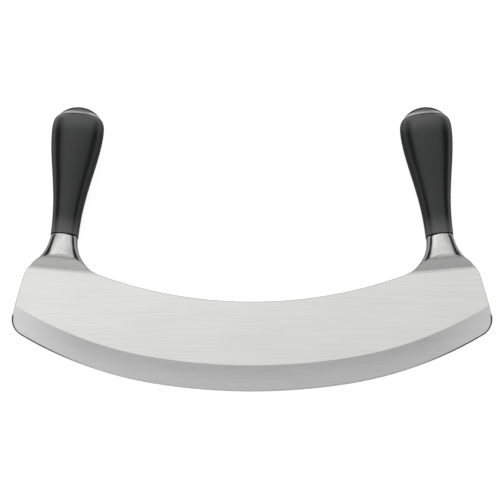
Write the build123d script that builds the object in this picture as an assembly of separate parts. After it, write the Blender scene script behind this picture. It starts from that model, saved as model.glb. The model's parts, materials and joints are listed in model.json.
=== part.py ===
from build123d import *
from math import acos, asin, atan2, cos, degrees, pi, radians, sin, sqrt
import os

# Mezzaluna: a crescent blade with an upright handle at each end.
# Everything is drawn in the plane of the blade, X along the blade and Y from the cutting edge
# towards the handles, with the origin at the lowest point of the edge. At the end the whole
# object is laid down on a worktop: it rests on the blade's edge and on the two bolsters.
# Lengths are millimetres, angles are degrees.

# Blade
blade_length = 250.0
blade_depth = 47.35
blade_thickness = 2.5
edge_middle_radius = 310.0
edge_outer_radius = 197.5
edge_middle_half = 50.0
corner_radius = 10.0
end_lean = 13.9
spine_radius = 229.4
bevel_height = 13.5
bevel_end_thickness = 0.4
honed_height = 0.8
edge_thickness = 0.1
outline_break = 0.25          # chamfer round the spine and the ends
ground_to_angle = -40.0       # direction in which the ground lines stop, past the blade's ends

# Where the handles stand: the joint is the plane between bolster and handle
joint_inset = 26.05           # in from the end of the blade
joint_above_spine = 12.91     # above the line of the spine there
handle_lean = 5.3

# Bolster
neck_width = 14.05
neck_thickness = 14.3
neck_top_squareness = 2.5
neck_squareness = 3.2
foot_squareness = 2.1
rim_break_across = 0.2
rim_break_down = 0.6
ramp_length = 6.4
foot_above_flare_end = 1.77   # the foot meets the blade this far above the end of the inner flare
ramp_radius = 20.0
outer_flare_radius = 18.2
shoulder_radius = 18.0

# Tongue of the blade in the bolster's slot
tongue_width = 12.0
tongue_length = 9.0
tongue_thickness = 1.2
slot_clearance = 0.1

# Shares of the way from the joint down to the bolster's foot at which its section is set, and the
# share of the change from the neck's squareness to the foot's that is reached there
neck_station_shares = [0.0, 0.15, 0.3, 0.45, 0.6, 0.7, 0.8, 0.9, 1.0]
foot_shape_shares = [0.0, 0.0, 0.05, 0.3, 0.7, 0.9, 1.0, 1.0, 1.0]

# Handle
handle_length = 72.9
cap_height = 5.9
dome_reach = 13.1             # the bulge lies this far below the handle's top
joint_overhang = 0.25
bulge_width = 27.8
bulge_thickness = 19.8
joint_squareness = 2.5
bulge_squareness = 2.35
rim_squareness = 2.0
swell_delay = 1.22
section_points = 16
handle_sections = 12
handle_edge_break = 0.5

# Tang, nut and washer
shank_side = 6.0
shank_above_joint = 38.0
socket_depth = 8.0
thread_diameter = 5.0
tang_end_chamfer = 0.6
washer_diameter = 10.0
washer_thickness = 1.0
nut_across_flats = 8.0
nut_height = 4.0
nut_corner_chamfer = 0.5
thread_beyond_nut = 1.5
socket_clearance = 0.05
bore_clearance = 0.2
thread_clearance = 0.05

# End cap
counterbore_diameter = 11.0
counterbore_depth = 10.0
spigot_clearance = 0.05
spigot_length = 4.0
spigot_wall = 1.4
cap_edge_break = 0.2

overrun = 2.0
tilt_steps = 24
steepest_tilt = 20.0


def heading(angle):
    """Unit vector at an angle from the blade's length."""
    return Vector(cos(radians(angle)), sin(radians(angle)))


def arc_about(centre, radius, start, end):
    return CenterArc((centre.X, centre.Y), radius, start, end - start)


# Sizes that follow from the ones above
half_thickness = blade_thickness / 2
spine_centre = Vector(0, blade_depth + spine_radius)
joint_x = blade_length / 2 - joint_inset
spine_drop = sqrt(spine_radius ** 2 - joint_x ** 2)
joint = Vector(joint_x, spine_centre.Y - spine_drop + joint_above_spine)
across = heading(handle_lean)
down = heading(handle_lean - 90)
outer_top = joint + across * (neck_width / 2)
inner_top = joint - across * (neck_width / 2)

# Inner flare: the arc that leaves the neck at the joint and runs into the spine
flare_from_spine = inner_top - spine_centre
inner_flare_radius = (spine_radius ** 2 - flare_from_spine.length ** 2) / 2
inner_flare_radius /= spine_radius - flare_from_spine.dot(across)
inner_flare = inner_top - across * inner_flare_radius
flare_end = spine_centre + (inner_flare - spine_centre).normalized() * spine_radius
foot_below_joint = (flare_end - joint).dot(down) - foot_above_flare_end
neck_length = foot_below_joint - ramp_length

rim_above_joint = handle_length - cap_height
bulge_above_joint = handle_length - dome_reach
joint_width = neck_width + 2 * joint_overhang
joint_thickness = neck_thickness + 2 * joint_overhang
seat_above_joint = rim_above_joint - counterbore_depth
tang_top = seat_above_joint + washer_thickness + nut_height + thread_beyond_nut


def handle_plane(side):
    """Plane at the joint, with its Z up the handle: side is 1 on the right and -1 on the left."""
    lean = radians(handle_lean)
    return Plane(
        origin=(side * joint.X, joint.Y, 0),
        x_dir=(side * cos(lean), sin(lean), 0),
        z_dir=(-side * sin(lean), cos(lean), 0),
    )


def edge_centres():
    """Centres of the two arcs of the cutting edge, and the angle at which they meet."""
    turn = degrees(asin(edge_middle_half / edge_middle_radius))
    middle = Vector(0, edge_middle_radius)
    outer = middle + heading(turn - 90) * (edge_middle_radius - edge_outer_radius)
    return middle, outer, turn - 90


def edge_curve(lift, last_angle):
    """Right half of the cutting edge's line, lifted towards the spine."""
    middle, outer, change = edge_centres()
    up = Vector(0, lift)
    middle_arc = arc_about(middle + up, edge_middle_radius, -90, change)
    outer_arc = arc_about(outer + up, edge_outer_radius, change, last_angle)
    return middle_arc, outer_arc


def silhouette():
    """Outline of the blade and both necks, up to the joints with the handles."""
    middle, outer, change = edge_centres()

    # Lower corner: its arc touches the cutting edge and the full length of the blade
    corner_x = blade_length / 2 - corner_radius
    corner_drop = sqrt((edge_outer_radius - corner_radius) ** 2 - (corner_x - outer.X) ** 2)
    corner = Vector(corner_x, outer.Y - corner_drop)
    corner_angle = degrees(atan2(corner.Y - outer.Y, corner.X - outer.X))
    middle_arc, outer_arc = edge_curve(0, corner_angle)
    corner_arc = arc_about(corner, corner_radius, corner_angle, end_lean)

    # Outer flare and shoulder: two arcs that turn into the straight end of the blade
    flare = outer_top + across * outer_flare_radius
    end_point = corner + heading(end_lean) * corner_radius
    reach = (flare - end_point).dot(heading(end_lean)) + shoulder_radius
    turn = end_lean + degrees(acos(reach / (outer_flare_radius + shoulder_radius)))
    shoulder = flare - heading(turn) * (outer_flare_radius + shoulder_radius)
    shoulder_arc = arc_about(shoulder, shoulder_radius, end_lean, turn)
    flare_arc = arc_about(flare, outer_flare_radius, turn + 180, handle_lean + 180)

    # Inner flare and spine
    to_end = flare_end - spine_centre
    meeting = degrees(atan2(to_end.Y, to_end.X))
    inner_arc = arc_about(inner_flare, inner_flare_radius, meeting, handle_lean)
    spine_arc = arc_about(spine_centre, spine_radius, -90, meeting)

    right = Wire(
        [
            middle_arc,
            outer_arc,
            corner_arc,
            Line(corner_arc @ 1, shoulder_arc @ 0),
            shoulder_arc,
            flare_arc,
            Line(outer_top, inner_top),
            inner_arc,
            spine_arc,
            Line(spine_arc @ 0, middle_arc @ 0),
        ]
    )
    half = make_face(right)
    return half + mirror(half, about=Plane.YZ)


def foot_block(side):
    """Everything above the line where the bolster's foot meets the blade, on one side."""
    height = foot_below_joint + overrun
    block = Box(blade_length, blade_length, height, align=(Align.CENTER, Align.CENTER, Align.MIN))
    return handle_plane(side).location * Pos(0, 0, -foot_below_joint) * block


def tongue(side, clearance):
    """Thin tongue above the foot line. With a clearance it is the slot that takes it."""
    block = Box(
        tongue_width + 2 * clearance,
        tongue_thickness + 2 * clearance,
        tongue_length + clearance,
        align=(Align.CENTER, Align.CENTER, Align.MIN),
    )
    return handle_plane(side).location * Pos(0, 0, -foot_below_joint) * block


def grinding(lift, half_start, half_end):
    """Prism ground off the upper side of the blade, from a line lifted above the edge down to it."""
    top_arcs = edge_curve(lift, ground_to_angle)
    far_end = top_arcs[1] @ 1
    low = -blade_depth
    right = Wire(
        [
            top_arcs[0],
            top_arcs[1],
            Line(far_end, (far_end.X, low)),
            Line((far_end.X, low), (0, low)),
            Line((0, low), (0, lift)),
        ]
    )
    half = make_face(right)
    region = Pos(0, 0, half_start) * (half + mirror(half, about=Plane.YZ))
    slope = Vector(0, -lift, half_end - half_start)
    return extrude(region, amount=2 * slope.length, dir=slope.normalized())


def make_blade():
    slab = extrude(silhouette(), amount=half_thickness, both=True)
    faces = slab.faces().sort_by(Axis.Z)
    outline = faces[0].edges() + faces[-1].edges()
    slab = chamfer([edge for edge in outline if edge.center().Y < joint.Y - neck_length], outline_break)
    for side in (-1, 1):
        slab -= foot_block(side)
        slab += tongue(side, 0)
    honed_start = bevel_end_thickness / 2
    honed_start += (half_thickness - bevel_end_thickness / 2) * honed_height / bevel_height
    cuts = [
        grinding(bevel_height, half_thickness, bevel_end_thickness / 2),
        grinding(honed_height, honed_start, edge_thickness / 2),
    ]
    for cut in cuts:
        slab -= cut
        slab -= mirror(cut, about=Plane.XY)
    return slab


def ramp_wheel():
    """Wheel that hollows the bolster's foot from one side, in the handle's own frame."""
    foot = Vector(half_thickness, -foot_below_joint)
    top = Vector(neck_thickness / 2, -neck_length)
    half_chord = (top - foot) / 2
    outward = Vector(half_chord.Y, -half_chord.X).normalized()
    centre = (foot + top) / 2 + outward * sqrt(ramp_radius ** 2 - half_chord.length ** 2)
    wheel = Rot(0, 90, 0) * Cylinder(ramp_radius, blade_length)
    return Pos(0, centre.X, centre.Y) * wheel


def section(width, thickness, squareness, height, centre=0.0):
    """Closed outline across a handle or neck: an ellipse at squareness 2, nearer a box above that."""
    points = []
    for step in range(section_points):
        angle = 2 * pi * step / section_points
        x, y = cos(angle), sin(angle)
        swell = (abs(x) ** squareness + abs(y) ** squareness) ** (-1 / squareness)
        points.append((centre + width / 2 * swell * x, thickness / 2 * swell * y, height))
    return Wire([Spline(*points, periodic=True)])


def make_bolster():
    """Right bolster, in the handle's own frame: rounded sections as wide as the outline."""
    frame = handle_plane(1).location
    plan = extrude(silhouette(), amount=half_thickness, both=True) & foot_block(1)
    plan = frame.inverse() * plan
    sections = []
    for share, change in zip(neck_station_shares, foot_shape_shares):
        height = -share * foot_below_joint
        box = (plan & (Pos(0, 0, height) * Rectangle(blade_length, blade_length))).bounding_box()
        squareness = neck_squareness + change * (foot_squareness - neck_squareness)
        squareness = squareness if share else neck_top_squareness
        sections.append(section(box.size.X, neck_thickness, squareness, height, box.center().X))
    body = Solid.make_loft(sections)
    rim = body.faces().sort_by(Axis.Z)[-1]
    body = chamfer(rim.edges(), rim_break_across, rim_break_down, reference=rim)
    body -= ramp_wheel()
    body -= mirror(ramp_wheel(), about=Plane.XZ)

    slot = frame.inverse() * tongue(1, slot_clearance)
    socket_side = shank_side + 2 * socket_clearance
    socket = Box(socket_side, socket_side, socket_depth, align=(Align.CENTER, Align.CENTER, Align.MAX))
    return body - slot - socket


def handle_section(height):
    """Outline of the handle at a height above the joint: it swells to the bulge, then domes over."""
    if height < bulge_above_joint:
        along = height / bulge_above_joint
        rise = along ** swell_delay
        growth = 3 * rise ** 2 - 2 * rise ** 3
        width = joint_width + growth * (bulge_width - joint_width)
        thickness = joint_thickness + growth * (bulge_thickness - joint_thickness)
        squareness = joint_squareness + growth * (bulge_squareness - joint_squareness)
    else:
        past = height - bulge_above_joint
        share = sqrt(1 - (past / dome_reach) ** 2)
        width = share * bulge_width
        thickness = share * bulge_thickness
        blend = (past / (rim_above_joint - bulge_above_joint)) ** 2
        squareness = bulge_squareness + blend * (rim_squareness - bulge_squareness)
    return section(width, thickness, squareness, height)


def make_handle():
    """Moulded grip, from the joint up to the cap's rim, in the handle's own frame."""
    steps = range(handle_sections)
    body = Solid.make_loft([handle_section(rim_above_joint * step / (handle_sections - 1)) for step in steps])
    ends = body.faces().sort_by(Axis.Z)
    body = chamfer(ends[0].edges() + ends[-1].edges(), handle_edge_break)

    up = (Align.CENTER, Align.CENTER, Align.MIN)
    shank_bore_side = shank_side + 2 * bore_clearance
    shank_bore = Box(shank_bore_side, shank_bore_side, shank_above_joint + bore_clearance, align=up)
    thread_bore = Cylinder(thread_diameter / 2 + bore_clearance, rim_above_joint, align=up)
    counterbore = Cylinder(counterbore_diameter / 2, counterbore_depth + overrun, align=up)
    return body - shank_bore - thread_bore - Pos(0, 0, seat_above_joint) * counterbore


def make_tang():
    """Square shank in bolster and handle, with a round threaded end for the nut."""
    up = (Align.CENTER, Align.CENTER, Align.MIN)
    below = socket_depth - socket_clearance
    shank = Pos(0, 0, -below) * Box(shank_side, shank_side, below + shank_above_joint, align=up)
    thread = Cylinder(thread_diameter / 2, tang_top, align=up)
    tang = shank + thread
    rims = [tang.edges().sort_by(Axis.Z)[-1]]
    return chamfer(rims, tang_end_chamfer)


def make_washer():
    up = (Align.CENTER, Align.CENTER, Align.MIN)
    disc = Cylinder(washer_diameter / 2, washer_thickness, align=up)
    hole = Cylinder(thread_diameter / 2 + bore_clearance, washer_thickness, align=up)
    return Pos(0, 0, seat_above_joint) * (disc - hole)


def make_tang_nut():
    """Hexagon nut, chamfered where its corners meet the two faces."""
    hexagon = extrude(RegularPolygon(nut_across_flats / 2, 6, major_radius=False), amount=nut_height)
    corner_distance = nut_across_flats / 2 / cos(pi / 6)
    up = (Align.CENTER, Align.CENTER, Align.MIN)
    blank = Cylinder(corner_distance, nut_height, align=up)
    blank = chamfer(blank.edges().filter_by(GeomType.CIRCLE), nut_corner_chamfer)
    bore = Cylinder(thread_diameter / 2 + thread_clearance, nut_height, align=up)
    return Pos(0, 0, seat_above_joint + washer_thickness) * ((hexagon & blank) - bore)


def make_end_cap():
    """Domed oval cap that carries on the handle's rounded end, with a ring spigot below it."""
    up = (Align.CENTER, Align.CENTER, Align.MIN)
    dome = scale(Sphere(1), by=(bulge_width / 2, bulge_thickness / 2, dome_reach))
    above_rim = Pos(0, 0, rim_above_joint) * Box(bulge_width, bulge_width, handle_length, align=up)
    dome = (Pos(0, 0, bulge_above_joint) * dome) & above_rim
    dome = chamfer(dome.faces().sort_by(Axis.Z)[0].edges(), cap_edge_break)
    spigot_radius = counterbore_diameter / 2 - spigot_clearance
    spigot = Cylinder(spigot_radius, spigot_length, align=up)
    spigot -= Cylinder(spigot_radius - spigot_wall, spigot_length, align=up)
    return dome + Pos(0, 0, rim_above_joint - spigot_length) * spigot


def stand_right(shape):
    return handle_plane(1).location * shape


def stand_left(shape):
    return mirror(stand_right(shape), about=Plane.YZ)


def lowest(shapes, tilt):
    return min((Rot(tilt, 0, 0) * shape).bounding_box().min.Z for shape in shapes)


def resting_tilt(blade, uprights):
    """Tilt about X at which the blade and the lowest of the uprights touch the worktop together."""
    flat, steep = 0.0, steepest_tilt
    for _ in range(tilt_steps):
        tilt = (flat + steep) / 2
        if lowest(uprights, tilt) < lowest([blade], tilt):
            flat = tilt
        else:
            steep = tilt
    return (flat + steep) / 2


def main():
    makers = {
        "bolster": make_bolster,
        "tang": make_tang,
        "handle": make_handle,
        "washer": make_washer,
        "tang_nut": make_tang_nut,
        "end_cap": make_end_cap,
    }
    nodes = {"blade": make_blade()}
    for name, make in makers.items():
        shape = make()
        nodes["left_" + name] = stand_left(shape)
        nodes["right_" + name] = stand_right(shape)

    # Lay the object down and bring the middle of its footprint to the origin
    tilt = resting_tilt(nodes["blade"], [nodes["right_bolster"], nodes["right_handle"]])
    laid = {name: Rot(tilt, 0, 0) * shape for name, shape in nodes.items()}
    boxes = [shape.bounding_box() for shape in laid.values()]
    near = min(box.min.Y for box in boxes)
    far = max(box.max.Y for box in boxes)
    floor = min(box.min.Z for box in boxes)
    place = Pos(0, -(near + far) / 2, -floor)

    os.makedirs("parts", exist_ok=True)
    for name, shape in laid.items():
        export_step(place * shape, "parts/" + name + ".step")
    print("tilt", tilt, "footprint", near, far, "floor", floor)


main()
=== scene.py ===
# Looks of the mezzaluna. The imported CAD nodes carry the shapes, and this script gives them their
# materials, the floor, the light and the camera. Lengths are metres, and angles are degrees.

import json
from math import atan2, cos, radians, sin

import bpy
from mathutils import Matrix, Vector

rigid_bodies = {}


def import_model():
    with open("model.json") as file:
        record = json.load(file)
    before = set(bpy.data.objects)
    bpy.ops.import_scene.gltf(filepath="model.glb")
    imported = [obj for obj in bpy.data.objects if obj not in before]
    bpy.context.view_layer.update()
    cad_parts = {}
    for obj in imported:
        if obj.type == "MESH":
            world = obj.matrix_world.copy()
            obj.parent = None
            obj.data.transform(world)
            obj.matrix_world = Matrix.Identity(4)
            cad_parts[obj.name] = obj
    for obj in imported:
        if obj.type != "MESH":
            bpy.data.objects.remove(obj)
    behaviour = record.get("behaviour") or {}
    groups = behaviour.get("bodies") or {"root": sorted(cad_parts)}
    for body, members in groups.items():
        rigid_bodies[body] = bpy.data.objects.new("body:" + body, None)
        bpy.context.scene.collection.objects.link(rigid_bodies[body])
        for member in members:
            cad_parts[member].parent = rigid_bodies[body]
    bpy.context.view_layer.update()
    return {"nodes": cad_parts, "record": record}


# Camera, measured from the middle of the blade's cutting edge in the blade's own plane
aim_above_edge = 0.07572
aim_across = -0.00105
view_lean = 16.0              # from the blade's normal, towards the cutting edge
view_distance = 0.8947
nearest_view = 0.01
sensor_width = 36.0           # millimetres
focal_length = 122.4          # millimetres

# The two blade mounts of the record lie this far above the middle of the edge
mount_above_edge = 0.031

# Floor: a glow for the camera and for reflections alone, over a grey that keeps a soft shadow
floor_size = 6.0
floor_glow = 0.88
floor_albedo = 0.3

# Dark studio flags at both sides and on the camera's side
side_flag_distance = 1.4
side_flag_foot = 0.05
side_flag_top = 1.4
side_flag_near = -0.2         # the side flags reach from here, on the camera's side,
side_flag_back = 1.6          # to here, behind the object
front_flag_distance = 0.7
front_flag_width = 1.4
front_flag_top = 0.06
flag_tint = 0.02
flag_roughness = 0.9

# Strength of the sky by direction, from the camera's side (-1) through overhead (0) to the back (1)
sky_levels = [
    (-1.0, 0.75),
    (-0.75, 0.66),
    (-0.45, 0.61),
    (-0.12, 0.62),
    (0.02, 0.77),
    (0.15, 1.26),
    (0.24, 1.34),
    (0.4, 1.24),
    (0.6, 0.96),
    (1.0, 0.75),
]
sky_brightest = 1.5           # the levels are kept as shares of this one
sky_side_fall = 0.14          # share by which the sky is weaker on the right, and stronger on the left
sky_side_reach = 0.25         # the fall takes place between these directions left and right

# Angles from the blade's normal at which its flats, its bevels and its sharpened edge end
flat_limit = 2.0
bevel_limit = 9.0
honed_limit = 30.0

# Distances from the blade's middle plane to its face and to where the sharpened edge begins
blade_half_thickness = 0.00125
honed_half_thickness = 0.00026

# The blade's lower corners, in its own frame: a painted dark line of shade follows them
corner_middle = (0.115, 0.0381, 0)
corner_radius = 0.010
corner_line = 0.0007
corner_direction = -22.5      # from the blade's length
corner_spread = 42.0          # the line runs this far to both sides of that direction
corner_fade_share = 0.7       # and begins to fade at this share of it

# Distances from the blade's middle at which painted shade darkens its edge and a painted highlight brightens
# its bevel, start and end
edge_shade_span = (0.080, 0.112)
bevel_highlight_span = (0.085, 0.135)

# How far the bolster's normal leans along the blade's length where its front ends and its sides begin
front_turn = 0.2
side_turn = 0.75

# Cosine of the angle to the blade's normal at which the bolster's steep faces end and its front begins
steep_facing = 0.5
front_facing = 0.7

# Outer edge of the bolster's front in the blade's frame: painted shade darkens the front towards it, above
# the ramp
outer_edge_direction = (0.884, 0.467, 0)
outer_edge = 0.1284
outer_edge_fade = 0.0034
outer_edge_shade_depth = 0.62
ramp_top = 0.0722
ramp_top_fade = 0.0025

# Handles: their lean, and depths that are measured along them
handle_lean = 5.3             # from the blade's upward direction, both tops inwards
handle_rim = 0.0006           # depth of the dull rims at both ends of a grip
bolster_highlight_rim = 0.00065         # and of the one at the top of a bolster, lighter as a painted highlight
sheen_depth = 0.012            # painted sheen makes the grip a little greyer this far from its ends
cap_band = 0.0050             # the cap's painted bright reflection at its border ends this far below its top
cap_middle = 0.0038           # and its painted dark reflection in the middle begins here
foot_shade = 0.0022           # depth of the painted soft shade on the blade below the bolster's foot

# Tints: the darkest and the lightest of a surface's grain, as a grey or as red, green and blue
flat_tints = ((0.765, 0.763, 0.755), (0.855, 0.853, 0.845))
# painted shade on the flats just below the bolsters
foot_shade_tints = (0.52, 0.60)
# painted shade: the bevels darken from their lower tints to their upper ones towards the upper line
upper_bevel_shade_tints = (0.59, 0.67)
lower_bevel_tints = (0.71, 0.79)
# painted highlight towards both ends of the bevels
end_bevel_highlight_tints = (0.86, 0.94)
# painted shade on a thin line round the lower corners
corner_shade_tints = (0.07, 0.12)
honed_tints = (0.78, 0.90)
# painted shade on the sharpened edge towards both ends
honed_end_shade_tints = (0.14, 0.20)
bolster_front_tints = ((0.63, 0.63, 0.625), (0.73, 0.73, 0.725))
# painted shade on the bolster's sides
bolster_side_shade_tints = (0.29, 0.37)
# painted reflection on the cap: a bright border and a dark middle
cap_border_reflection_tints = (0.54, 0.62)
cap_middle_reflection_tints = (0.17, 0.22)
plastic_tints = ((0.005, 0.0068, 0.006), (0.008, 0.010, 0.009))
# painted sheen near both ends of the grip
sheen_tints = ((0.092, 0.0945, 0.093), (0.107, 0.1095, 0.108))
rim_tints = ((0.002, 0.0025, 0.002), (0.005, 0.006, 0.0055))

# Roughness, or its lowest and highest value
blade_roughness = 0.30
honed_roughness = 0.22
cap_roughness = 0.18
bolster_roughness = (0.20, 0.26)
rim_roughness = (0.55, 0.7)
roughness_swing = 0.06        # a steel's roughness wanders by this share of itself
plastic_side_roughness = 0.95
plastic_front_roughness = 0.33
plastic_side_facing = 0.3     # cosine of the angle to the blade's normal at which the grip's sides end
plastic_front_facing = 0.85   # and at which its front begins

# Reflections: a metal's at a grazing angle, where 1 is clean, and a plastic's, where 0.5 is plain
bolster_grazing = 0.3
cap_grazing = 0.1
plastic_gloss = 0.66
rim_gloss = 0.15

# Brushed grain: repeats per metre along the blade, and across it in fine lines and in coarse streaks
flat_brush = (45, 3600, 1100)
bevel_brush = (60, 3200, 900)

# Other grain: repeats per metre along X, Y and Z
honed_grain = (300, 3000, 3000)
bolster_grain = (1100, 420, 1100)
bolster_cloud = (160, 160, 160)
cap_grain = (1500, 300, 1500)
plastic_texture = (2600, 2600, 2600)
plastic_cloud = (60, 60, 60)
rim_speck = (3000, 3000, 3000)
steel_cloud = (25, 40, 40)

# Every noise: how strongly its finer levels show, and the range that most of its values lie in
noise_roughness = 0.6
noise_middle = (0.3, 0.7)

# Depth of the relief
brush_depth = 4e-6
honed_depth = 3e-6
cap_depth = 2e-6
bolster_depth = 20e-6
bolster_relief = 0.6          # share of that depth that shows
plastic_depth = 20e-6

# Plain steels: darkest and lightest grey, roughness, grain and depth
plain_steels = {
    # the outline's dark grey is painted shade along the blade's cut edges
    "blade_outline": (0.13, 0.19, 0.35, (900, 900, 3000), 4e-6),
    # the bolster rim's light grey is a painted highlight
    "bolster_highlight_rim": (0.88, 0.96, 0.12, (900, 900, 900), 1e-6),
    "tang_steel": (0.52, 0.60, 0.38, (400, 1800, 400), 8e-6),
    "washer_steel": (0.55, 0.64, 0.35, (1500, 1500, 1500), 4e-6),
    "nut_steel": (0.50, 0.60, 0.33, (1500, 1500, 1500), 4e-6),
}


def find_mount(record, name):
    return next(mount for mount in record["mounts"] if mount["name"] == name)


class BladeFrame:
    """Lowest point of the cutting edge, the direction up the blade, its normal and its tilt."""

    def __init__(self, record):
        upper = find_mount(record, "upper_blade_face")
        lower = find_mount(record, "lower_blade_face")
        self.normal = Vector(upper["axis"]).normalized()
        self.upward = self.normal.cross(Vector((1, 0, 0))).normalized()
        self.tilt = atan2(self.upward.z, self.upward.y)
        between_faces = (Vector(upper["pos_m"]) + Vector(lower["pos_m"])) / 2
        self.middle = between_faces - self.upward * mount_above_edge


def handle_axis(blade, lean):
    """Direction up a handle: the left one has the lean, and the right one its opposite."""
    return blade.upward * cos(radians(lean)) + Vector((sin(radians(lean)), 0, 0))


def height_range(node, blade):
    """Lowest and highest point of a node on the left, along the axis of its handle."""
    axis = handle_axis(blade, handle_lean)
    heights = [(vertex.co - blade.middle).dot(axis) for vertex in node.data.vertices]
    return min(heights), max(heights)


# Shader helpers

def feed(tree, socket, value):
    """Links another node's output to a socket, or sets the socket's own value."""
    if isinstance(value, bpy.types.NodeSocket):
        tree.links.new(value, socket)
    else:
        socket.default_value = value


def calculate(tree, operation, *values):
    node = tree.nodes.new("ShaderNodeMath")
    node.operation = operation
    for socket, value in zip(node.inputs, values):
        feed(tree, socket, value)
    return node.outputs["Value"]


def calculate_vector(tree, operation, *values):
    """Outputs of a vector calculation: Vector, or Value where it gives a number."""
    node = tree.nodes.new("ShaderNodeVectorMath")
    node.operation = operation
    for socket, value in zip(node.inputs, values):
        feed(tree, socket, value)
    return node.outputs


def dot_with(tree, vector, direction):
    return calculate_vector(tree, "DOT_PRODUCT", vector, direction)["Value"]


def map_range(tree, value, before, after, interpolation="LINEAR"):
    """Carries a value from one range over to another and holds it at the ends."""
    node = tree.nodes.new("ShaderNodeMapRange")
    node.interpolation_type = interpolation
    for name, end in zip(("From Min", "From Max", "To Min", "To Max"), (*before, *after)):
        node.inputs[name].default_value = end
    tree.links.new(value, node.inputs["Value"])
    return node.outputs["Result"]


def ramp_between(tree, value, start, end):
    """0 at start, 1 at end, smooth between."""
    return map_range(tree, value, (start, end), (0.0, 1.0), "SMOOTHSTEP")


def spread_noise(tree, noise, low=0.0, high=1.0):
    """Spreads the middle of a noise over low to high."""
    return map_range(tree, noise, noise_middle, (low, high))


def blend_colours(tree, factor, first, second):
    mix = tree.nodes.new("ShaderNodeMix")
    mix.data_type = "RGBA"
    tree.links.new(factor, mix.inputs["Factor"])
    feed(tree, mix.inputs["A"], first)
    feed(tree, mix.inputs["B"], second)
    return mix.outputs["Result"]


def full_colour(tint):
    """Colour of a tint, which is a grey or has red, green and blue."""
    return (*tint, 1) if isinstance(tint, tuple) else (tint, tint, tint, 1)


def tinted(tree, grain, tints):
    """Colour that follows the grain from the first tint to the second."""
    return blend_colours(tree, grain, *map(full_colour, tints))


def stretched_noise(tree, repeats, detail=4.0):
    """Noise whose repeats per metre may differ along X, Y and Z."""
    place = tree.nodes.new("ShaderNodeTexCoord")
    mapping = tree.nodes.new("ShaderNodeMapping")
    mapping.inputs["Scale"].default_value = repeats
    noise = tree.nodes.new("ShaderNodeTexNoise")
    noise.inputs["Scale"].default_value = 1.0
    noise.inputs["Detail"].default_value = detail
    noise.inputs["Roughness"].default_value = noise_roughness
    tree.links.new(place.outputs["Object"], mapping.inputs["Vector"])
    tree.links.new(mapping.outputs["Vector"], noise.inputs["Vector"])
    return noise.outputs["Fac"]


def brushed(tree, along, fine, coarse):
    """Grain along the blade: fine lines with coarser streaks among them."""
    lines = stretched_noise(tree, (along, fine, fine), detail=1.0)
    streaks = stretched_noise(tree, (along / 2, coarse, coarse), detail=2.0)
    mix = tree.nodes.new("ShaderNodeMix")
    mix.inputs["Factor"].default_value = 0.5
    tree.links.new(lines, mix.inputs["A"])
    tree.links.new(streaks, mix.inputs["B"])
    return spread_noise(tree, mix.outputs["Result"])


def relief(tree, shader, height, depth, strength=1.0):
    """Gives a shader a bump of that depth."""
    node = tree.nodes.new("ShaderNodeBump")
    node.inputs["Strength"].default_value = strength
    node.inputs["Distance"].default_value = depth
    tree.links.new(height, node.inputs["Height"])
    tree.links.new(node.outputs["Normal"], shader.inputs["Normal"])


# Places and directions on the object

def blade_place(tree, blade):
    """Place in the blade's frame: X along it, Y up from the middle of its edge, Z off its plane."""
    place = tree.nodes.new("ShaderNodeTexCoord")
    mapping = tree.nodes.new("ShaderNodeMapping")
    mapping.vector_type = "TEXTURE"
    mapping.inputs["Location"].default_value = blade.middle
    mapping.inputs["Rotation"].default_value = (blade.tilt, 0, 0)
    tree.links.new(place.outputs["Object"], mapping.inputs["Vector"])
    return mapping.outputs["Vector"]


def folded_place(tree, blade):
    """Place in the blade's frame, folded onto one end and one face, whole and split into X, Y and Z."""
    folded = calculate_vector(tree, "ABSOLUTE", blade_place(tree, blade))["Vector"]
    axes = tree.nodes.new("ShaderNodeSeparateXYZ")
    tree.links.new(folded, axes.inputs["Vector"])
    return folded, axes.outputs


def facing(tree, direction):
    """1 where the surface faces along a direction, either way, and 0 where it stands square to it."""
    geometry = tree.nodes.new("ShaderNodeNewGeometry")
    return calculate(tree, "ABSOLUTE", dot_with(tree, geometry.outputs["Normal"], direction))


def handle_height(tree, blade):
    """Height up the handle's own axis, from the middle of the blade's edge, the same on both sides."""
    lean = radians(handle_lean)
    return dot_with(tree, folded_place(tree, blade)[0], (-sin(lean), cos(lean), 0))


def corner_mask(tree, folded):
    """1 on a thin line of painted shade round the blade's lower corners."""
    from_middle = calculate_vector(tree, "SUBTRACT", folded, corner_middle)["Vector"]
    flat = calculate_vector(tree, "MULTIPLY", from_middle, (1, 1, 0))["Vector"]
    distance = calculate_vector(tree, "LENGTH", flat)["Value"]
    inner = corner_radius - corner_line
    line = ramp_between(tree, distance, inner - corner_line / 2, inner)
    turn = radians(corner_direction)
    outward = calculate_vector(tree, "NORMALIZE", flat)["Vector"]
    cosine = dot_with(tree, outward, (cos(turn), sin(turn), 0))
    fade_start = cos(radians(corner_spread))
    fade_end = cos(radians(corner_spread * corner_fade_share))
    return calculate(tree, "MULTIPLY", line, ramp_between(tree, cosine, fade_start, fade_end))


def outer_edge_shade_mask(tree, blade):
    """Falls from 1 towards the outer edge of the bolster's front, above its ramp, as painted shade."""
    folded, axes = folded_place(tree, blade)
    outward = dot_with(tree, folded, outer_edge_direction)
    near = ramp_between(tree, outward, outer_edge - outer_edge_fade, outer_edge)
    above = ramp_between(tree, axes["Y"], ramp_top - ramp_top_fade, ramp_top)
    both = calculate(tree, "MULTIPLY", near, above)
    return calculate(tree, "MULTIPLY_ADD", both, -outer_edge_shade_depth, 1.0)


# Materials

def new_material(name):
    """A new material, its node tree, and its principled shader, linked to the output."""
    material = bpy.data.materials.new(name)
    material.use_nodes = True
    tree = material.node_tree
    tree.nodes.clear()
    output = tree.nodes.new("ShaderNodeOutputMaterial")
    shader = tree.nodes.new("ShaderNodeBsdfPrincipled")
    tree.links.new(shader.outputs["BSDF"], output.inputs["Surface"])
    return material, tree, shader


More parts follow.
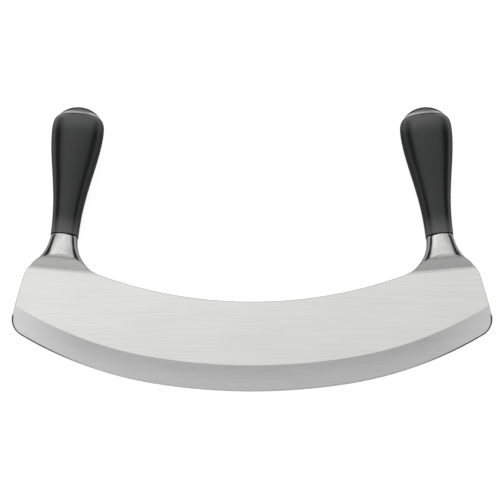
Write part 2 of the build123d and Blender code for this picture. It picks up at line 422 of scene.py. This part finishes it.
def new_metal(name, grazing=1.0):
    """Bare metal. Its reflection at a grazing angle may be darker than a clean one's."""
    material, tree, shader = new_material(name)
    shader.inputs["Metallic"].default_value = 1.0
    shader.inputs["Specular Tint"].default_value = full_colour(grazing)
    return material, tree, shader


def new_steel(name, roughness, grazing=1.0):
    """Bare metal with a roughness that wanders a little over the surface."""
    material, tree, shader = new_metal(name, grazing)
    cloud = stretched_noise(tree, steel_cloud, detail=2.0)
    low = roughness * (1 - roughness_swing)
    high = roughness * (1 + roughness_swing)
    tree.links.new(spread_noise(tree, cloud, low, high), shader.inputs["Roughness"])
    return material, tree, shader


def plain_steel(name):
    """Steel with one even grain."""
    dark, light, roughness, repeats, depth = plain_steels[name]
    material, tree, shader = new_steel(name, roughness)
    grain = spread_noise(tree, stretched_noise(tree, repeats))
    tree.links.new(tinted(tree, grain, (dark, light)), shader.inputs["Base Color"])
    relief(tree, shader, grain, depth)
    return material


def flat_steel(blade, foot):
    """The blade's brushed flats, with a painted soft shade where the bolsters begin."""
    material, tree, shader = new_steel("blade_flat", blade_roughness)
    grain = brushed(tree, *flat_brush)
    near = ramp_between(tree, handle_height(tree, blade), foot - foot_shade, foot)
    tint = blend_colours(tree, near, tinted(tree, grain, flat_tints), tinted(tree, grain, foot_shade_tints))
    tree.links.new(tint, shader.inputs["Base Color"])
    relief(tree, shader, grain, brush_depth)
    return material


def bevel_steel(blade):
    """Ground bevels with painted shade, darker at the upper line than at the edge, and a dark corner line."""
    material, tree, shader = new_steel("blade_bevel", blade_roughness)
    folded, axes = folded_place(tree, blade)
    grain = brushed(tree, *bevel_brush)
    upper = tinted(tree, grain, upper_bevel_shade_tints)
    lower = tinted(tree, grain, lower_bevel_tints)
    rise = ramp_between(tree, axes["Z"], honed_half_thickness, blade_half_thickness)
    even = blend_colours(tree, rise, lower, upper)
    end = ramp_between(tree, axes["X"], *bevel_highlight_span)
    ground = blend_colours(tree, end, even, tinted(tree, grain, end_bevel_highlight_tints))
    line = tinted(tree, grain, corner_shade_tints)
    tint = blend_colours(tree, corner_mask(tree, folded), ground, line)
    tree.links.new(tint, shader.inputs["Base Color"])
    relief(tree, shader, grain, brush_depth)
    return material


def honed_steel(blade):
    """The sharpened edge: bright in the middle, dark with painted shade towards both ends."""
    material, tree, shader = new_steel("blade_honed", honed_roughness)
    axes = folded_place(tree, blade)[1]
    grain = spread_noise(tree, stretched_noise(tree, honed_grain))
    bright = tinted(tree, grain, honed_tints)
    dull = tinted(tree, grain, honed_end_shade_tints)
    end = ramp_between(tree, axes["X"], *edge_shade_span)
    tree.links.new(blend_colours(tree, end, bright, dull), shader.inputs["Base Color"])
    relief(tree, shader, grain, honed_depth)
    return material


def forged_steel(blade):
    """Polished front and back, with painted shade on the sides and towards the front's outer edge."""
    material, tree, shader = new_metal("bolster_steel", bolster_grazing)
    grain = spread_noise(tree, stretched_noise(tree, bolster_grain))
    cloud = stretched_noise(tree, bolster_cloud, detail=3.0)
    level = ramp_between(tree, facing(tree, blade.normal), steep_facing, front_facing)
    straight = ramp_between(tree, facing(tree, (1, 0, 0)), side_turn, front_turn)
    unshaded_front = calculate(tree, "MULTIPLY", level, straight)
    unshaded_front = calculate(tree, "MULTIPLY", unshaded_front, outer_edge_shade_mask(tree, blade))
    front = tinted(tree, grain, bolster_front_tints)
    side = tinted(tree, grain, bolster_side_shade_tints)
    tree.links.new(blend_colours(tree, unshaded_front, side, front), shader.inputs["Base Color"])
    tree.links.new(spread_noise(tree, cloud, *bolster_roughness), shader.inputs["Roughness"])
    relief(tree, shader, cloud, bolster_depth, bolster_relief)
    return material


def moulded_plastic(blade, low_end, top_end):
    """Satin black plastic with a fine moulded texture, duller at the sides, and greyer at its ends from a
    painted sheen.
    """
    material, tree, shader = new_material("handle_plastic")
    shader.inputs["Specular IOR Level"].default_value = plastic_gloss
    cloud = stretched_noise(tree, plastic_cloud, detail=2.0)
    height = handle_height(tree, blade)
    low = ramp_between(tree, height, low_end + sheen_depth, low_end)
    high = ramp_between(tree, height, top_end - sheen_depth, top_end)
    ends = calculate(tree, "MAXIMUM", low, high)
    tint = blend_colours(tree, ends, tinted(tree, cloud, plastic_tints), tinted(tree, cloud, sheen_tints))
    tree.links.new(tint, shader.inputs["Base Color"])
    front = ramp_between(tree, facing(tree, blade.normal), plastic_side_facing, plastic_front_facing)
    roughness = map_range(tree, front, (0.0, 1.0), (plastic_side_roughness, plastic_front_roughness))
    tree.links.new(roughness, shader.inputs["Roughness"])
    relief(tree, shader, stretched_noise(tree, plastic_texture, detail=3.0), plastic_depth)
    return material


def domed_steel(blade, top):
    """Polished cap with a painted reflection: a bright border and a darker middle."""
    material, tree, shader = new_steel("cap_steel", cap_roughness, cap_grazing)
    grain = spread_noise(tree, stretched_noise(tree, cap_grain))
    border = tinted(tree, grain, cap_border_reflection_tints)
    middle = tinted(tree, grain, cap_middle_reflection_tints)
    rise = ramp_between(tree, handle_height(tree, blade), top - cap_band, top - cap_middle)
    tree.links.new(blend_colours(tree, rise, border, middle), shader.inputs["Base Color"])
    relief(tree, shader, grain, cap_depth)
    return material


def rim_plastic():
    """Dull black rims where the plastic meets steel."""
    material, tree, shader = new_material("handle_rim")
    shader.inputs["Specular IOR Level"].default_value = rim_gloss
    speck = stretched_noise(tree, rim_speck)
    tree.links.new(tinted(tree, speck, rim_tints), shader.inputs["Base Color"])
    tree.links.new(spread_noise(tree, speck, *rim_roughness), shader.inputs["Roughness"])
    return material


def dress(node, *materials):
    node.data.materials.clear()
    for material in materials:
        node.data.materials.append(material)


def dress_blade(node, blade, foot):
    """Gives the flats, main bevels, sharpened edge and the cut outline, dark with painted shade, their own
    materials.
    """
    dress(node, flat_steel(blade, foot), bevel_steel(blade), honed_steel(blade), plain_steel("blade_outline"))
    limits = [cos(radians(limit)) for limit in (flat_limit, bevel_limit, honed_limit)]
    for face in node.data.polygons:
        cosine = abs(face.normal.dot(blade.normal))
        face.material_index = sum(cosine < limit for limit in limits)


def dress_rims(node, axis, rim, low_end):
    """Gives the faces within a rim's depth of the top, or of both ends, the second material."""
    heights = [vertex.co.dot(axis) for vertex in node.data.vertices]
    low, high = min(heights), max(heights)
    for face in node.data.polygons:
        height = face.center.dot(axis)
        face.material_index = int(high - height < rim or (low_end and height - low < rim))


def dress_nodes(nodes, blade):
    dress_blade(nodes["blade"], blade, height_range(nodes["left_bolster"], blade)[0])
    pieces = {
        "bolster": (forged_steel(blade), plain_steel("bolster_highlight_rim")),
        "handle": (moulded_plastic(blade, *height_range(nodes["left_handle"], blade)), rim_plastic()),
        "end_cap": (domed_steel(blade, height_range(nodes["left_end_cap"], blade)[1]),),
        "tang": (plain_steel("tang_steel"),),
        "washer": (plain_steel("washer_steel"),),
        "tang_nut": (plain_steel("nut_steel"),),
    }
    for side, lean in (("left_", handle_lean), ("right_", -handle_lean)):
        for piece, materials in pieces.items():
            dress(nodes[side + piece], *materials)
        axis = handle_axis(blade, lean)
        dress_rims(nodes[side + "bolster"], axis, bolster_highlight_rim, False)
        dress_rims(nodes[side + "handle"], axis, handle_rim, True)


# Stage

def new_plane(name, width, height, place, turn):
    bpy.ops.mesh.primitive_plane_add(size=1, location=place, rotation=turn)
    plane = bpy.context.object
    plane.name = name
    plane.scale = (width, height, 1)
    return plane


def make_floor():
    """White floor that glows for the camera and for reflections, and keeps a soft shadow."""
    floor = new_plane("floor", floor_size, floor_size, (0, 0, 0), (0, 0, 0))
    material = bpy.data.materials.new("floor_white")
    material.use_nodes = True
    tree = material.node_tree
    tree.nodes.clear()
    output = tree.nodes.new("ShaderNodeOutputMaterial")
    diffuse = tree.nodes.new("ShaderNodeBsdfDiffuse")
    diffuse.inputs["Color"].default_value = full_colour(floor_albedo)
    rays = tree.nodes.new("ShaderNodeLightPath").outputs
    seen = calculate(tree, "MAXIMUM", rays["Is Camera Ray"], rays["Is Glossy Ray"])
    seen = calculate(tree, "MAXIMUM", seen, rays["Is Transmission Ray"])
    glow = tree.nodes.new("ShaderNodeEmission")
    tree.links.new(calculate(tree, "MULTIPLY", seen, floor_glow), glow.inputs["Strength"])
    both = tree.nodes.new("ShaderNodeAddShader")
    tree.links.new(diffuse.outputs["BSDF"], both.inputs[0])
    tree.links.new(glow.outputs["Emission"], both.inputs[1])
    tree.links.new(both.outputs["Shader"], output.inputs["Surface"])
    floor.data.materials.append(material)


def make_flags():
    """Dark studio flags round the set, which give the metal and the plastic their dark edges."""
    material, tree, shader = new_material("flag_black")
    shader.inputs["Base Color"].default_value = full_colour(flag_tint)
    shader.inputs["Roughness"].default_value = flag_roughness
    side_width = side_flag_back - side_flag_near
    side_middle = (side_flag_back + side_flag_near) / 2

    # Place across and to the back, turn in degrees, width, foot and top
    places = {
        "flag_left": (-side_flag_distance, side_middle, 90, side_width, side_flag_foot, side_flag_top),
        "flag_right": (side_flag_distance, side_middle, 90, side_width, side_flag_foot, side_flag_top),
        "flag_front": (0, -front_flag_distance, 0, front_flag_width, 0, front_flag_top),
    }
    for name, (across, back, turn, width, foot, top) in places.items():
        place = (across, back, (foot + top) / 2)
        flag = new_plane(name, width, top - foot, place, (radians(90), 0, radians(turn)))
        flag.data.materials.append(material)
        flag.visible_camera = False
        flag.visible_diffuse = False
        flag.visible_shadow = False


def light_sky():
    """Soft light from all round, brighter overhead and behind than on the camera's side."""
    world = bpy.data.worlds.new("studio")
    bpy.context.scene.world = world
    world.use_nodes = True
    tree = world.node_tree
    tree.nodes.clear()
    output = tree.nodes.new("ShaderNodeOutputWorld")
    background = tree.nodes.new("ShaderNodeBackground")
    place = tree.nodes.new("ShaderNodeTexCoord")
    axes = tree.nodes.new("ShaderNodeSeparateXYZ")
    tree.links.new(place.outputs["Generated"], axes.inputs["Vector"])

    # The curve runs over 0 to 1 both ways, so directions and levels are carried into that range
    curve = tree.nodes.new("ShaderNodeFloatCurve")
    points = curve.mapping.curves[0].points
    while len(points) < len(sky_levels):
        points.new(0.5, 0.5)  # every point gets its place below
    for point, (back, level) in zip(points, sky_levels):
        point.location = ((back + 1) / 2, level / sky_brightest)
    curve.mapping.update()
    towards_back = map_range(tree, axes.outputs["Y"], (-1.0, 1.0), (0.0, 1.0))
    tree.links.new(towards_back, curve.inputs["Value"])

    left = sky_brightest * (1 + sky_side_fall)
    right = sky_brightest * (1 - sky_side_fall)
    fall = map_range(tree, axes.outputs["X"], (-sky_side_reach, sky_side_reach), (left, right))
    level = calculate(tree, "MULTIPLY", curve.outputs["Value"], fall)
    tree.links.new(level, background.inputs["Strength"])
    tree.links.new(background.outputs["Background"], output.inputs["Surface"])


def place_camera(blade):
    data = bpy.data.cameras.new("camera")
    data.sensor_width = sensor_width
    data.lens = focal_length
    data.clip_start = nearest_view
    camera = bpy.data.objects.new("camera", data)
    bpy.context.scene.collection.objects.link(camera)
    lean = radians(view_lean)
    towards = blade.normal * cos(lean) - blade.upward * sin(lean)
    aim = blade.middle + blade.upward * aim_above_edge + Vector((aim_across, 0, 0))
    camera.location = aim + towards * view_distance
    camera.rotation_euler = (-towards).to_track_quat("-Z", "Y").to_euler()
    bpy.context.scene.camera = camera


bpy.ops.object.select_all(action="SELECT")
bpy.ops.object.delete()
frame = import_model()
blade = BladeFrame(frame["record"])

dress_nodes(frame["nodes"], blade)
make_floor()
make_flags()
light_sky()
place_camera(blade)
bpy.context.scene.view_settings.view_transform = "Standard"
